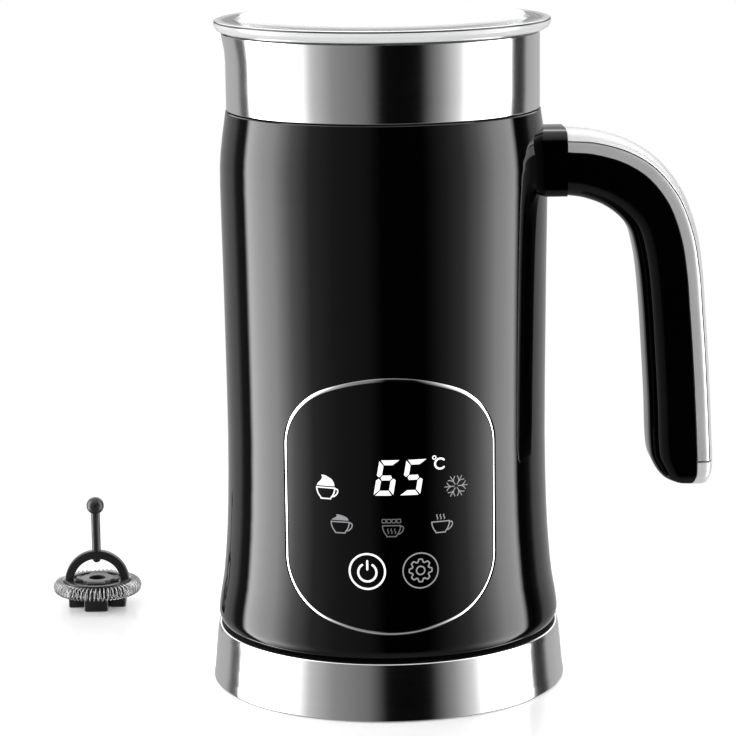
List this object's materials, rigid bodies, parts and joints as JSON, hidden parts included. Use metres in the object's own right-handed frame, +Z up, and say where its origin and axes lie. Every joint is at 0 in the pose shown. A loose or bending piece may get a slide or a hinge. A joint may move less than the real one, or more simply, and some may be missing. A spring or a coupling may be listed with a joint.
{
  "type": "milk frother",
  "caption": "Cordless electric milk frother: lidded steel cup in a gloss black jug with a bent handle and touch display, on a round power base, with magnet-driven spring whisks.",
  "frame": {"origin": "centre of the foot ring, on the surface that the power base stands on", "axes": "+Z up, handle towards +X, display towards -Y, cord gland towards +Y"},
  "size_m": [0.2065, 0.1479, 0.2],
  "materials": {
    "brushed_steel": "polished, fine grain",
    "cup_steel": "satin",
    "gloss_black": "high gloss",
    "window_black": "high gloss",
    "bright_trim": "polished",
    "satin_silver": "satin",
    "matte_black": "fine texture",
    "soft_black": "matte",
    "clear_plastic": "clear",
    "clear_silicone": "translucent",
    "whisk_black": "satin",
    "spring_steel": "polished wire",
    "pale_plastic": "satin",
    "magnet": "dull",
    "contact_brass": "satin",
    "screw_steel": "plain",
    "zinc_steel": "zinc plated",
    "aluminium": "milled",
    "heater_dark": "dull",
    "copper_winding": "enamelled",
    "board_green": "lacquered",
    "component_dark": "moulded",
    "icon_white": "lit",
    "icon_grey": "lit dimly"
  },
  "bodies": {
    "base": {"base_skirt": "brushed_steel", "base_deck": "matte_black", "base_bottom": "matte_black", "base_socket": "matte_black", "contact_rings": "contact_brass", "foot_ring": "soft_black", "base_screws": "screw_steel", "cord_gland": "soft_black", "cord_clamp": "matte_black"},
    "coupler": {"jug_coupler": "matte_black", "coupler_pins": "contact_brass"},
    "jug": {"outer_shell": "gloss_black", "steel_collar": "brushed_steel", "inner_cup": "cup_steel", "cup_gasket": "soft_black", "drive_pin": "cup_steel", "display_window": "window_black", "panel_trim": "bright_trim", "display_board": "board_green", "led_display": "pale_plastic", "touch_springs": "spring_steel", "heater_ring": "heater_dark", "heat_spreader": "aluminium", "temp_sensor": "contact_brass", "thermal_cutout": "heater_dark", "motor_can": "zinc_steel", "motor_end_cap": "pale_plastic", "stator_magnets": "magnet", "motor_bushes": "contact_brass", "motor_brushes": "heater_dark", "motor_bracket": "zinc_steel", "motor_screws": "screw_steel", "control_board": "board_green", "board_components": "component_dark", "bottom_cover": "matte_black", "cover_screws": "screw_steel", "handle_neck": "gloss_black", "handle_grip": "gloss_black", "grip_foot": "gloss_black", "handle_back": "satin_silver", "handle_end_cap": "satin_silver", "handle_screws": "screw_steel"},
    "rotor": {"motor_shaft": "screw_steel", "armature": "copper_winding", "commutator": "contact_brass", "magnet_yoke": "zinc_steel", "drive_magnets": "magnet"},
    "lid": {"lid": "clear_plastic", "lid_gasket": "clear_silicone"},
    "whisk_carrier": {"whisk_bush": "pale_plastic"},
    "whisk": {"whisk_frame": "whisk_black", "whisk_spring": "spring_steel", "whisk_magnets": "magnet"},
    "spare_whisk": {"spare_bush": "pale_plastic", "spare_frame": "whisk_black", "spare_spring": "spring_steel", "spare_magnets": "magnet"}
  },
  "joints": [
    {"name": "jug_lift", "type": "slide", "parent": "base", "child": "coupler", "axis": [0, 0, 1], "range_m": [0, 0.1]},
    {"name": "jug_turn", "type": "hinge", "parent": "coupler", "child": "jug", "pos_m": [0, 0, 0.02], "axis": [0, 0, 1], "continuous": true},
    {"name": "lid_lift", "type": "slide", "parent": "jug", "child": "lid", "axis": [0, 0, 1], "range_m": [0, 0.06]},
    {"name": "motor_spin", "type": "hinge", "parent": "jug", "child": "rotor", "pos_m": [0, 0, 0.05], "axis": [0, 0, 1], "continuous": true},
    {"name": "whisk_lift", "type": "slide", "parent": "jug", "child": "whisk_carrier", "axis": [0, 0, 1], "range_m": [0, 0.08]},
    {"name": "whisk_spin", "type": "hinge", "parent": "whisk_carrier", "child": "whisk", "pos_m": [0, 0, 0.078], "axis": [0, 0, 1], "continuous": true},
    {"name": "spare_lift", "type": "slide", "parent": "base", "child": "spare_whisk", "axis": [0, 0, 1], "range_m": [0, 0.05]}
  ],
  "couplings": [
    {"joint": "whisk_spin", "follows": "motor_spin", "ratio": 1}
  ]
}
